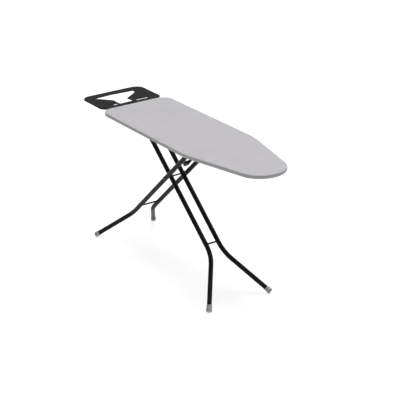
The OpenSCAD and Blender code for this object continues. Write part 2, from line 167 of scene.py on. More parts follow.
def mat_cover(name, col):
    """Plain-weave cotton: threads both ways, slubs, and a faint cloudiness."""
    m, nt, b = new_mat(name)
    n = Net(nt)
    x, y, z = n.xyz()[0:3]
    warp = n.noise(240, 2, 0.6)
    k = 2 * math.pi / 0.0011
    def thread(v, amp):
        w = n.math("MULTIPLY", v, k)
        w = n.math("ADD", w, n.math("MULTIPLY", warp, amp))
        return n.math("SINE", w)
    weave = n.math("ADD", n.math("ADD", thread(x, 2.2), thread(y, 2.0)), thread(z, 1.8))
    slub = n.noise(1, 4, 0.6, n.mapping((70, 1400, 700)))
    slub2 = n.noise(1, 4, 0.6, n.mapping((1400, 70, 700)))
    cloud = n.noise(7.5, 4, 0.55)
    fac = n.math("ADD", n.math("MULTIPLY", n.math("ADD", slub, slub2), 0.34), n.math("MULTIPLY", cloud, 0.42))
    fac = n.math("ADD", fac, n.math("MULTIPLY", weave, 0.035))
    n.link(n.ramp(fac, [(0.32, mix3(col, 0.925)), (0.52, col), (0.74, mix3(col, 1.06))]), b.inputs["Base Color"])
    n.link(n.mapr(fac, 0.3, 0.8, 0.8, 0.66), b.inputs["Roughness"])
    b.inputs["Sheen Weight"].default_value = 0.12
    b.inputs["Sheen Roughness"].default_value = 0.45
    b.inputs["Specular IOR Level"].default_value = 0.18
    nrm = n.bump(n.math("ADD", n.math("MULTIPLY", weave, 0.18), n.math("MULTIPLY", slub, 0.5)), 0.32, 0.0003)
    n.link(nrm, b.inputs["Normal"])
    return m


def mat_felt(name, col):
    m, nt, b = new_mat(name)
    n = Net(nt)
    f = n.noise(900, 6, 0.7, dist=1.5)
    c = n.noise(35, 3)
    n.link(n.ramp(n.math("ADD", n.math("MULTIPLY", f, 0.7), n.math("MULTIPLY", c, 0.3)),
                  [(0.3, mix3(col, 0.7)), (0.6, col), (0.8, mix3(col, 1.15))]), b.inputs["Base Color"])
    b.inputs["Roughness"].default_value = 0.95
    b.inputs["Sheen Weight"].default_value = 0.3
    b.inputs["Specular IOR Level"].default_value = 0.1
    n.link(n.bump(f, 0.7, 0.0008), b.inputs["Normal"])
    return m


def mat_powder(name, col, rough=0.42, spec=0.4, peel=900, wear=0.0, strength=0.25):
    """Powder coat: fine orange peel, slight dust in the colour, rubbed edges."""
    m, nt, b = new_mat(name)
    n = Net(nt)
    f = n.noise(peel, 3, 0.55)
    big = n.noise(14, 4, 0.6)
    fac = n.math("ADD", n.math("MULTIPLY", f, 0.45), n.math("MULTIPLY", big, 0.55))
    colr = n.ramp(fac, [(0.35, mix3(col, 0.82)), (0.55, col), (0.75, mix3(col, 1.3))])
    if wear > 0:
        geo = nt.nodes.new("ShaderNodeNewGeometry")
        edge = n.mapr(geo.outputs["Pointiness"], 0.53, 0.62, 0.0, wear)
        scr = n.math("MULTIPLY", edge, n.mapr(n.noise(420, 4, 0.7), 0.42, 0.62, 0.0, 1.0), True)
        mx = nt.nodes.new("ShaderNodeMix")
        mx.data_type = "RGBA"
        n.link(scr, mx.inputs[0])
        n.link(colr, mx.inputs[6])
        mx.inputs[7].default_value = (0.11, 0.11, 0.112, 1)
        colr = mx.outputs[2]
    n.link(colr, b.inputs["Base Color"])
    n.link(n.mapr(fac, 0.3, 0.75, rough - 0.05, rough + 0.1), b.inputs["Roughness"])
    b.inputs["Specular IOR Level"].default_value = spec
    n.link(n.bump(f, strength, 0.00012), b.inputs["Normal"])
    return m


def mat_rest(name, top, edge):
    """Matt textured powder coat on the plate's top, smoother on its rim; the rim's blacker colour is painted shade,
    picked by which way each face turns.
    """
    m, nt, b = new_mat(name)
    n = Net(nt)
    nrm = nt.nodes.new("ShaderNodeNewGeometry").outputs["Normal"]
    # painted shade mask: faces turned up take the top colour, faces turned aside (the rim) take the darker edge colour
    up = n.mapr(n.xyz(nrm)[2], 0.35, 0.9, 0.0, 1.0)
    f = n.noise(1400, 3, 0.6)
    big = n.noise(11, 4, 0.6)
    fac = n.math("ADD", n.math("MULTIPLY", f, 0.5), n.math("MULTIPLY", big, 0.5))
    c1 = n.ramp(fac, [(0.35, mix3(top, 0.85)), (0.52, top), (0.72, mix3(top, 1.2))])
    # the edge colour is the rim's painted shade, not a different coating
    rim_painted_shade_colour = n.ramp(fac, [(0.35, mix3(edge, 0.85)), (0.52, edge), (0.72, mix3(edge, 1.2))])
    mx = nt.nodes.new("ShaderNodeMix")
    mx.data_type = "RGBA"
    n.link(up, mx.inputs[0])
    n.link(rim_painted_shade_colour, mx.inputs[6])
    n.link(c1, mx.inputs[7])
    n.link(mx.outputs[2], b.inputs["Base Color"])
    n.link(n.mapr(fac, 0.3, 0.75, 0.56, 0.68), b.inputs["Roughness"])
    b.inputs["Specular IOR Level"].default_value = 0.06
    n.link(n.bump(f, 0.35, 0.00012), b.inputs["Normal"])
    return m


def mat_plastic(name, col, rough=0.5, spec=0.4, grain=1500, strength=0.3):
    m, nt, b = new_mat(name)
    n = Net(nt)
    v = n.voronoi(grain, "SMOOTH_F1")
    f = n.noise(60, 5, 0.6)
    n.link(n.ramp(f, [(0.35, mix3(col, 0.9)), (0.55, col), (0.75, mix3(col, 1.1))]), b.inputs["Base Color"])
    n.link(n.mapr(f, 0.3, 0.7, rough - 0.07, rough + 0.09), b.inputs["Roughness"])
    b.inputs["Specular IOR Level"].default_value = spec
    n.link(n.bump(v, strength, 0.00012), b.inputs["Normal"])
    return m


def mat_zinc(name, col, spangle=90, rough=0.38):
    """Galvanised or plated steel with a faint spangle."""
    m, nt, b = new_mat(name)
    n = Net(nt)
    cell = n.voronoi(spangle, "F1", out="Color")
    g = n.xyz(cell)[0]
    f = n.noise(240, 5, 0.65)
    fac = n.math("ADD", n.math("MULTIPLY", g, 0.5), n.math("MULTIPLY", f, 0.5))
    n.link(n.ramp(fac, [(0.2, mix3(col, 0.8)), (0.5, col), (0.8, mix3(col, 1.15))]), b.inputs["Base Color"])
    b.inputs["Metallic"].default_value = 1.0
    n.link(n.mapr(fac, 0.2, 0.8, rough - 0.08, rough + 0.14), b.inputs["Roughness"])
    n.link(n.bump(f, 0.12, 0.0001), b.inputs["Normal"])
    return m


def mat_elastic(name, col):
    m, nt, b = new_mat(name)
    n = Net(nt)
    x, y, z = n.xyz()[0:3]
    w = n.math("SINE", n.math("MULTIPLY", n.math("ADD", x, y), 2 * math.pi / 0.0012))
    f = n.noise(700, 3)
    n.link(n.ramp(n.math("ADD", n.math("MULTIPLY", w, 0.2), f), [(0.25, mix3(col, 0.8)), (0.55, col), (0.8, mix3(col, 1.1))]),
           b.inputs["Base Color"])
    b.inputs["Roughness"].default_value = 0.85
    b.inputs["Sheen Weight"].default_value = 0.15
    n.link(n.bump(w, 0.5, 0.0003), b.inputs["Normal"])
    return m


M = {
    "cover": mat_cover("cover_cloth", (0.352, 0.343, 0.356)),
    "thread": mat_elastic("thread", (0.50, 0.49, 0.50)),
    "felt": mat_felt("felt", (0.66, 0.64, 0.58)),
    "elastic": mat_elastic("elastic", (0.62, 0.61, 0.62)),
    "tube": mat_powder("black_powder_coat", (0.0132, 0.0125, 0.0129), 0.36, 0.07, 1000, 0.0),
    "steel_black": mat_powder("black_steel_pressing", (0.017, 0.016, 0.017), 0.42, 0.2, 900, 0.5),
    # the second colour is painted shade for the plate's rim, laid on by face direction
    "rest": mat_rest("rest_powder_coat", (0.0195, 0.0186, 0.0188), (0.0065, 0.0062, 0.0062)),
    "zinc": mat_zinc("zinc_plate", (0.62, 0.62, 0.64), 500, 0.32),
    "galv": mat_zinc("galvanised_sheet", (0.50, 0.51, 0.52), 70, 0.42),
    "dark": mat_zinc("black_oxide", (0.07, 0.07, 0.072), 400, 0.36),
    "wire": mat_zinc("spring_wire", (0.50, 0.50, 0.51), 300, 0.28),
    "grip": mat_plastic("grip_plastic", (0.011, 0.011, 0.011), 0.56, 0.35, 1300, 0.5),
    "plug": mat_plastic("plug_plastic", (0.02, 0.02, 0.02), 0.5, 0.35),
    "foot": mat_plastic("foot_plastic", (0.32, 0.314, 0.318), 0.5, 0.3, 1600, 0.25),
    "nylon": mat_plastic("nylon", (0.72, 0.71, 0.66), 0.4, 0.4, 1600, 0.15),
}


# --------------------------------------------------------------------- meshes
def piece(name, verts, faces, body, mat, replaces=(), smooth=True, angle=None, mm=True):
    me = bpy.data.meshes.new(name)
    me.from_pydata([tuple(place(v)) if mm else tuple(v) for v in verts], [], faces)
    me.validate()
    bm = bmesh.new()
    bm.from_mesh(me)
    bmesh.ops.recalc_face_normals(bm, faces=bm.faces)
    if angle is not None:
        for e in bm.edges:
            if len(e.link_faces) == 2 and e.calc_face_angle(0) > math.radians(angle):
                e.smooth = False
    bm.to_mesh(me)
    bm.free()
    if smooth:
        me.polygons.foreach_set("use_smooth", [True] * len(me.polygons))
    me.materials.append(M[mat])
    o = bpy.data.objects.new(name, me)
    bpy.context.scene.collection.objects.link(o)
    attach(o, body)
    if replaces:
        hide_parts(*replaces)
    return o


class Build:
    """Collects vertices and faces, in millimetres from the square end."""

    def __init__(self):
        self.v, self.f = [], []

    def add(self, verts, faces):
        k = len(self.v)
        self.v += [Vector(p) for p in verts]
        self.f += [tuple(i + k for i in q) for q in faces]

    def rings(self, rings, closed=True, cap0=True, cap1=True):
        """Joins equal rings of points; caps are fans round a middle point."""
        m, verts, faces = len(rings[0]), [], []
        for r in rings:
            verts += r
        for i in range(len(rings) - 1):
            for j in range(m if closed else m - 1):
                a, b = i * m + j, i * m + (j + 1) % m
                faces.append((a, b, b + m, a + m))
        if cap0:
            c = sum((Vector(p) for p in rings[0]), Vector()) / m
            verts.append(c)
            faces += [((j + 1) % m, j, len(verts) - 1) for j in range(m)]
        if cap1:
            c = sum((Vector(p) for p in rings[-1]), Vector()) / m
            verts.append(c)
            k = (len(rings) - 1) * m
            faces += [(k + j, k + (j + 1) % m, len(verts) - 1) for j in range(m)]
        self.add(verts, faces)

    def lathe(self, prof, at, axis, n=32):
        """Turns (radius, height) points round axis from at. A radius of 0 closes an end; otherwise the profile is a closed loop."""
        axis = Vector(axis).normalized()
        q = Vector((0, 0, 1)).rotation_difference(axis)
        ex, ey = q @ Vector((1, 0, 0)), q @ Vector((0, 1, 0))
        at = Vector(at)
        closed = prof[0][0] > 1e-6 and prof[-1][0] > 1e-6
        rings = [[at + axis * z + (ex * math.cos(2 * math.pi * k / n) + ey * math.sin(2 * math.pi * k / n)) * r for k in range(n)]
                 for r, z in prof if r > 1e-6]
        if closed:
            m, verts, faces = n, [], []
            for r in rings:
                verts += r
            k = len(rings)
            for i in range(k):
                for j in range(m):
                    a, b = i * m + j, i * m + (j + 1) % m
                    c, d = ((i + 1) % k) * m + (j + 1) % m, ((i + 1) % k) * m + j
                    faces.append((a, b, c, d))
            self.add(verts, faces)
        else:
            self.rings(rings, True, prof[0][0] <= 1e-6, prof[-1][0] <= 1e-6)


def soften(prof, r=0.35):
    """Rounds each corner of a lathe profile with a small arc, so edges catch light."""
    out = [prof[0]]
    for a, b, c in zip(prof, prof[1:], prof[2:]):
        a, b, c = Vector(a), Vector(b), Vector(c)
        da, dc = (a - b), (c - b)
        t = min(r, da.length * 0.45, dc.length * 0.45)
        if t < 0.02 or b.x < 1e-6:
            out.append(tuple(b))
            continue
        p, q = b + da.normalized() * t, b + dc.normalized() * t
        for k in range(4):
            s = k / 3
            out.append(tuple(p * (1 - s) ** 2 + b * 2 * s * (1 - s) + q * s * s))
    out.append(prof[-1])
    return out


def soften_loop(prof, r=0.3):
    n, out = len(prof), []
    for i in range(n):
        a, b, c = Vector(prof[i - 1]), Vector(prof[i]), Vector(prof[(i + 1) % n])
        da, dc = (a - b), (c - b)
        t = min(r, da.length * 0.45, dc.length * 0.45)
        p, q = b + da.normalized() * t, b + dc.normalized() * t
        for k in range(4):
            s = k / 3
            out.append(tuple(p * (1 - s) ** 2 + b * 2 * s * (1 - s) + q * s * s))
    return out


def sweep(path, r, n=20, normal=(0, 1, 0), closed=False, rfun=None):
    """Tube of radius r along a path in mm; returns its rings."""
    rings = []
    m = len(path)
    ref = Vector(normal)
    for i, p in enumerate(path):
        a = path[(i - 1) % m] if closed or i > 0 else path[0]
        b = path[(i + 1) % m] if closed or i < m - 1 else path[-1]
        t = (Vector(b) - Vector(a)).normalized()
        e1 = (ref - t * ref.dot(t)).normalized()
        ref = e1
        e2 = t.cross(e1)
        rr = rfun(i) if rfun else r
        rings.append([Vector(p) + (e1 * math.cos(2 * math.pi * k / n) + e2 * math.sin(2 * math.pi * k / n)) * rr for k in range(n)])
    return rings


def refine(node, body, mat, width=0.35, seg=2, name=None, limit=38):
    """A copy of a CAD node with its flat faces joined up and its edges rounded."""
    src = NODES[node]
    me = src.data.copy()
    me.name = (name or node) + "_shape"
    bm = bmesh.new()
    bm.from_mesh(me)
    bmesh.ops.remove_doubles(bm, verts=bm.verts, dist=2e-6)
    bmesh.ops.dissolve_limit(bm, angle_limit=math.radians(0.8), verts=bm.verts, edges=bm.edges)
    bmesh.ops.recalc_face_normals(bm, faces=bm.faces)
    bm.to_mesh(me)
    bm.free()
    me.materials.clear()
    me.materials.append(M[mat])
    if "sharp_face" in me.attributes:
        me.attributes.remove(me.attributes["sharp_face"])
    if "custom_normal" in me.attributes:
        me.attributes.remove(me.attributes["custom_normal"])
    me.polygons.foreach_set("use_smooth", [True] * len(me.polygons))
    o = bpy.data.objects.new(name or node + "_finished", me)
    bpy.context.scene.collection.objects.link(o)
    b = o.modifiers.new("edges", "BEVEL")
    b.width = width * MM
    b.segments = seg
    b.limit_method = "ANGLE"
    b.angle_limit = math.radians(limit)
    b.harden_normals = True
    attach(o, body)
    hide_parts(node)
    return o


# ------------------------------------------------------------- board outline
def tap_angle():
    dx, dy = L - NOSE_R - TAPER_X, W / 2
    return math.atan2(dy, dx) - math.asin(NOSE_R / math.hypot(dx, dy))


TAP = tap_angle()
BCX = TAPER_X - BLEND_R * math.tan(TAP / 2)


def base_outline(step):
    """Points and outward normals round the board, about step mm apart."""
    arcs = [((L - NOSE_R, 0), NOSE_R, TAP - math.pi / 2, math.pi / 2 - TAP),
            ((BCX, W / 2 - BLEND_R), BLEND_R, math.pi / 2 - TAP, math.pi / 2),
            ((CORNER_R, W / 2 - CORNER_R), CORNER_R, math.pi / 2, math.pi),
            ((CORNER_R, CORNER_R - W / 2), CORNER_R, math.pi, 1.5 * math.pi),
            ((BCX, BLEND_R - W / 2), BLEND_R, 1.5 * math.pi, 1.5 * math.pi + TAP)]
    pts = []
    for i, (c, r, a0, a1) in enumerate(arcs):
        n = max(2, round(r * (a1 - a0) / step))
        for k in range(n + 1):
            a = a0 + (a1 - a0) * k / n
            nn = Vector((math.cos(a), math.sin(a)))
            pts.append((Vector(c) + nn * r, nn))
        c2, r2, b0, _ = arcs[(i + 1) % len(arcs)]
        q = Vector(c2) + Vector((math.cos(b0), math.sin(b0))) * r2
        p = pts[-1][0]
        n = round((q - p).length / step)
        for k in range(1, n):
            pts.append((p.lerp(q, k / n), nn))
    out = []
    for p, nn in pts:
        if not out or (p - out[-1][0]).length > 0.05:
            out.append((p, nn))
    if (out[0][0] - out[-1][0]).length < 0.05:
        out.pop()
    return out


def arclen(loop):
    s, acc = [0.0], 0.0
    for a, b in zip(loop, loop[1:]):
        acc += (b[0] - a[0]).length
        s.append(acc)
    return s, acc + (loop[0][0] - loop[-1][0]).length


def nz(x, y, z=0.0):
    return noise.noise(Vector((x, y, z)))


def inner_fill(edge2d, spacing, keep):
    """Triangulated fill of a closed loop, with points inside on a staggered grid."""
    pts = [Vector(p) for p in edge2d]
    n = len(pts)
    xs, ys = [p.x for p in pts], [p.y for p in pts]
    j, y = 0, min(ys) + spacing / 2
    extra = []
    while y < max(ys):
        x = min(xs) + (spacing / 2 if j % 2 else spacing)
        while x < max(xs):
            if keep(x, y):
                extra.append(Vector((x, y)))
            x += spacing
        y += spacing * 0.866
        j += 1
    res = geometry.delaunay_2d_cdt(pts + extra, [(i, (i + 1) % n) for i in range(n)], [list(range(n))], 1, 1e-6)
    return res[0], [tuple(f) for f in res[2]], res[3]


def inside_board(x, y, d):
    if x < d or x > L - d:
        return False
    if x < CORNER_R and abs(y) > W / 2 - CORNER_R:
        return math.hypot(x - CORNER_R, abs(y) - (W / 2 - CORNER_R)) < CORNER_R - d
    if x > L - NOSE_R and math.hypot(x - (L - NOSE_R), y) > NOSE_R - d:
        if abs(y) > 0 and math.atan2(abs(y), x - (L - NOSE_R)) < math.pi / 2 - TAP:
            return False
    if x > BCX:
        lim = W / 2 - (x - TAPER_X) * math.tan(TAP) if x > TAPER_X else W / 2
        if abs(y) > lim - d / math.cos(TAP):
            return False
        if x < BCX + BLEND_R * math.sin(TAP) and math.hypot(x - BCX, abs(y) - (W / 2 - BLEND_R)) > BLEND_R - d:
            return False
    return abs(y) < W / 2 - d


# ---------------------------------------------------------------------- cover
def make_cover():
    loop = base_outline(2.2)
    s, total = arclen(loop)
    n = len(loop)

    def ripple(si, d, z):
        """Gathers of the elasticated hem: folds run inward and deepen towards the elastic."""
        g = max(0.0, (d - 5.0) / 23.0)
        ph = 2 * math.pi * si / total
        a = 240 * ph + 2.6 * nz(si * 0.011, 3.1) + 1.2 * nz(si * 0.05, 9.0)
        amp = 1.05 * (0.55 + 0.45 * nz(si * 0.02, 5.5))
        return z + g ** 1.3 * amp * math.sin(a)

    # inset, height and how much of the small edge puckers shows
    prof = [(46, H - 0.05, 0.2), (34, H - 0.06, 0.3), (22, H - 0.08, 0.5), (13, H - 0.14, 0.8), (8, H - 0.25, 1.0), (4.6, H - 0.42, 1.0), (3.0, H - 0.62, 1.0), (2.0, H - 0.95, 1.0), (1.25, H - 1.45, 1.0), (0.72, H - 2.15, 1.0), (0.38, H - 3.1, 1.0),
            (0.2, H - 4.6, 1.0), (0.12, H - 7.0, 1.0), (0.12, H - 10.0, 1.0), (0.2, H - 13.0, 1.0), (0.42, H - 15.2, 1.0), (0.9, H - 16.6, 0.8),
            (1.8, H - 17.5, 0.7), (3.2, H - 17.95, 0.5), (5.5, H - 18.0, 0.3), (9, H - 17.9, 0),
            (13, H - 17.85, 0), (17, H - 17.8, 0), (21, H - 17.75, 0), (24.5, H - 17.7, 0), (27.6, H - 17.7, 0)]
    b = Build()
    rings = []
    for d, z, puck in prof:
        ring = []
        for (p, nn), si in zip(loop, s):
            # slight drag of the cloth over the edge of the felt
            w = 0.20 * nz(si * 0.012, 1.7, d * 0.03) + 0.10 * nz(si * 0.05, 7.7, d * 0.08)
            dd = d + puck * (w * 0.6 + 0.12)
            zz = z + (puck * w * 0.5 if d > 3 else 0)
            if z < H - 17:
                zz = ripple(si, d, z)
            q = p - nn * dd
            ring.append(Vector((q.x, q.y, min(zz, H))))
        rings.append(ring)
    verts = [v for r in rings for v in r]
    faces = []
    for i in range(len(rings) - 1):
        for j in range(n):
            a, c = i * n + j, i * n + (j + 1) % n
            faces.append((a, c, c + n, a + n))
    # the flat of the top: a fill whose points carry the cloth's slight waves
    edge = [(v.x, v.y) for v in rings[0]]
    pts, tris, src = inner_fill(edge, 14.0, lambda x, y: inside_board(x, y, 53))
    idx = {}
    base = len(verts)
    for k, p in enumerate(pts):
        if src[k]:
            o = src[k][0]
            if o < n:
                idx[k] = o
                continue
        idx[k] = base
        base += 1
        verts.append(Vector((p.x, p.y, H - 0.22 + 0.20 * nz(p.x * 0.012, p.y * 0.016, 4.2))))
    faces += [tuple(idx[i] for i in t) for t in tris]
    o = piece("cover_cloth_shell", verts, faces, "board", "cover", ("cover",))
    sol = o.modifiers.new("cloth", "SOLIDIFY")
    sol.thickness = 0.75 * MM
    sol.offset = -1
    area = 0.0
    for i in range(n):
        p, q = loop[i][0], loop[(i + 1) % n][0]
        area += (p.x * q.y - q.x * p.y) / 2
    area = (area + total * 44.5) * 1e-6

    # elastic cord in the edge of the hem
    step = 1
    path = [Vector(((p - nn * 28.4).x, (p - nn * 28.4).y, ripple(si, 28.0, H - 17.6))) for (p, nn), si in list(zip(loop, s))[::step]]
    e = Build()
    rr = sweep(path, 1.15, 10, (0, 0, 1), True, lambda i: 1.15 + 0.16 * math.sin(i * 1.9))
    m = 10
    vs = [v for r in rr for v in r]
    k = len(rr)
    fs = [(i * m + j, i * m + (j + 1) % m, ((i + 1) % k) * m + (j + 1) % m, ((i + 1) % k) * m + j) for i in range(k) for j in range(m)]
    piece("hem_elastic_cord", vs, fs, "board", "elastic", ("hem_elastic",))

    # one row of stitches that closes the elastic's tunnel
    t = Build()
    acc, pitch, want = 0.0, 4.6, 0.0
    for i in range(n):
        if s[i] < want:
            continue
        want = s[i] + pitch
        p, nn = loop[i]
        tan = Vector((-nn.y, nn.x))
        ends = []
        for u in (-1.5, -1.1, -0.5, 0.5, 1.1, 1.5):
            q = p - nn * 20.5 + tan * u
            lift = -0.75 if abs(u) > 1.3 else -0.98 if abs(u) > 0.8 else -1.06
            ends.append(Vector((q.x, q.y, ripple(s[i] + u, 20.5, H - 17.75) + lift + 0.62)))
        t.rings(sweep(ends, 0.28, 6, (0, 0, 1), rfun=lambda i: (0.12, 0.24, 0.28, 0.28, 0.24, 0.12)[i]))
    piece("hem_stitching", t.v, t.f, "board", "thread")


def make_pad():
    loop = base_outline(5.0)
    n = len(loop)
    prof = [(60, Z_PAD - 0.45), (20, Z_PAD - 0.45), (9, Z_PAD - 0.8), (5, Z_PAD - 1.4), (3, Z_PAD - 2.3), (2.1, Z_PAD - 3.4), (2.0, Z_DECK + 0.9),
            (2.4, Z_DECK + 0.3), (3.2, Z_DECK + 0.05), (20, Z_DECK + 0.05), (60, Z_DECK + 0.05)]
    rings = []
    for d, z in prof:
        rings.append([Vector(((p - nn * d).x, (p - nn * d).y, z)) for p, nn in loop])
    verts = [v for r in rings for v in r]
    faces = []
    for i in range(len(rings) - 1):
        for j in range(n):
            a, c = i * n + j, i * n + (j + 1) % n
            faces.append((a, c, c + n, a + n))
    for ring_i, flip in ((0, False), (len(rings) - 1, True)):
        edge = [(v.x, v.y) for v in rings[ring_i]]
        pts, tris, src = inner_fill(edge, 30.0, lambda x, y: inside_board(x, y, 70))
        idx, base = {}, len(verts)
        for k, p in enumerate(pts):
            if src[k] and src[k][0] < n:
                idx[k] = ring_i * n + src[k][0]
                continue
            idx[k] = base
            base += 1
            verts.append(Vector((p.x, p.y, rings[ring_i][0].z + (0.12 * nz(p.x * 0.02, p.y * 0.02) - 0.12 if not flip else 0))))
        faces += [tuple(idx[i] for i in t) for t in tris]
    o = piece("felt_pad_body", verts, faces, "board", "felt", ("felt_pad",))


def make_deck():
    """Expanded steel mesh: a lattice of diamond openings inside a plain border."""
    cx, cy = 11.0, 5.5          # half diagonals of a diamond
    bm = bmesh.new()
    grid = {}

    def vert(i, j):
        if (i, j) not in grid:
            grid[(i, j)] = bm.verts.new(place((i * cx, j * cy, Z_UNDER + 0.92)))
        return grid[(i, j)]

    for i in range(1, int(L / cx)):
        for j in range(-int(W / 2 / cy), int(W / 2 / cy) + 1):
            if (i + j) % 2:
                continue
            if all(inside_board(i * cx + a * cx, (j + c) * cy, 8.5) for a, c in ((-1, 0), (1, 0), (0, 1), (0, -1))):
                bm.faces.new((vert(i + 1, j), vert(i, j + 1), vert(i - 1, j), vert(i, j - 1)))
    faces = list(bm.faces)
    res = bmesh.ops.inset_individual(bm, faces=faces, thickness=0.95 * MM, depth=0.0, use_even_offset=True)
    bmesh.ops.delete(bm, geom=faces, context="FACES_ONLY")
    me = bpy.data.meshes.new("expanded_mesh_deck")
    bm.to_mesh(me)
    bm.free()
    me.materials.append(M["galv"])
    o = bpy.data.objects.new("expanded_mesh_deck", me)
    bpy.context.scene.collection.objects.link(o)
    s = o.modifiers.new("gauge", "SOLIDIFY")
    s.thickness = 0.9 * MM
    s.offset = -1
    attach(o, "board")
    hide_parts("mesh_deck")
    # plain border that the lattice is welded to
    loop = base_outline(6.0)
    n = len(loop)
    prof = [(1.5, Z_UNDER + 0.95), (15.5, Z_UNDER + 0.95), (15.5, Z_UNDER + 0.1), (1.5, Z_UNDER + 0.1)]
    rings = [[Vector(((p - nn * d).x, (p - nn * d).y, z)) for p, nn in loop] for d, z in prof]
    verts = [v for r in rings for v in r]
    fs = []
    for i in range(4):
        for j in range(n):
            k = (i + 1) % 4
            fs.append((i * n + j, i * n + (j + 1) % n, k * n + (j + 1) % n, k * n + j))
    piece("deck_border", verts, fs, "board", "galv", angle=40)


def make_rim():
    """Rolled channel round the deck: outer wall, rolled lower lip."""
    loop = base_outline(4.0)
    n = len(loop)
    out = [(1.5, Z_UNDER - 0.05), (1.5, Z_LOW + 3.4), (1.7, Z_LOW + 2.4), (2.3, Z_LOW + 1.7), (3.2, Z_LOW + 1.4), (10.2, Z_LOW + 1.4), (10.8, Z_LOW + 1.6),
           (11.0, Z_LOW + 2.1), (10.8, Z_LOW + 2.5), (10.2, Z_LOW + 2.6), (3.6, Z_LOW + 2.6), (3.0, Z_LOW + 2.8), (2.75, Z_LOW + 3.4), (2.7, Z_UNDER - 0.05)]
    rings = [[Vector(((p - nn * d).x, (p - nn * d).y, z)) for p, nn in loop] for d, z in out]
    verts = [v for r in rings for v in r]
    fs, m = [], len(rings)
    for i in range(m):
        for j in range(n):
            k = (i + 1) % m
            fs.append((i * n + j, i * n + (j + 1) % n, k * n + (j + 1) % n, k * n + j))
    piece("rolled_rim", verts, fs, "board", "galv", ("perimeter_rim",), angle=50)


# ----------------------------------------------------------------- iron rest
REST_Z = H - 2.0
RX0, RX1, RW = -240.0, -5.0, 332.0


def rest_loop(step=2.5):
    arcs = [((RX1 - 38, RW / 2 - 38), 38, 0), ((RX0 + 48, RW / 2 - 48), 48, 90), ((RX0 + 48, 48 - RW / 2), 48, 180), ((RX1 - 38, 38 - RW / 2), 38, 270)]
    pts = []
    for i, (c, r, a0) in enumerate(arcs):
        n = max(6, round(r * math.pi / 2 / step))
        for k in range(n + 1):
            a = math.radians(a0 + 90 * k / n)
            nn = Vector((math.cos(a), math.sin(a)))
            pts.append((Vector(c) + nn * r, nn))
        c2, r2, b0 = arcs[(i + 1) % 4]
        q = Vector(c2) + Vector((math.cos(math.radians(b0)), math.sin(math.radians(b0)))) * r2
        p = pts[-1][0]
        n = round((q - p).length / 8)
        for k in range(1, n):
            pts.append((p.lerp(q, k / n), nn))
    return pts


def fillet_loop(pts, r, n=7):
    """Rounded polygon with outward normals, counter-clockwise."""
    pts = [Vector(p) for p in pts]
    area = sum(pts[i - 1].x * pts[i].y - pts[i].x * pts[i - 1].y for i in range(len(pts)))
    if area < 0:
        pts = pts[::-1]
    out, m = [], len(pts)
    for i in range(m):
        p = pts[i]
        a, b = (pts[i - 1] - p).normalized(), (pts[(i + 1) % m] - p).normalized()
        h = math.acos(max(-1, min(1, a.dot(b)))) / 2
        q = p + (a + b).normalized() * r / math.sin(h)
        sv, ev = p + a * r / math.tan(h) - q, p + b * r / math.tan(h) - q
        a0 = math.atan2(sv.y, sv.x)
        t = math.atan2(ev.y, ev.x) - a0
        t = t - 2 * math.pi if t > math.pi else t + 2 * math.pi if t < -math.pi else t
        for k in range(n + 1):
            ang = a0 + t * k / n
            nn = Vector((math.cos(ang), math.sin(ang)))
            out.append((q + nn * r, nn if t > 0 else -nn))
    res = []
    for p, nn in out:
        if not res or (p - res[-1][0]).length > 0.05:
            res.append((p, nn))
    return res


CUT = [(-184, -116), (-190, -12), (-180, 100), (-150, 88), (-91, 12), (-41, 18), (-37, -55), (-104, -55), (-136, -78)]


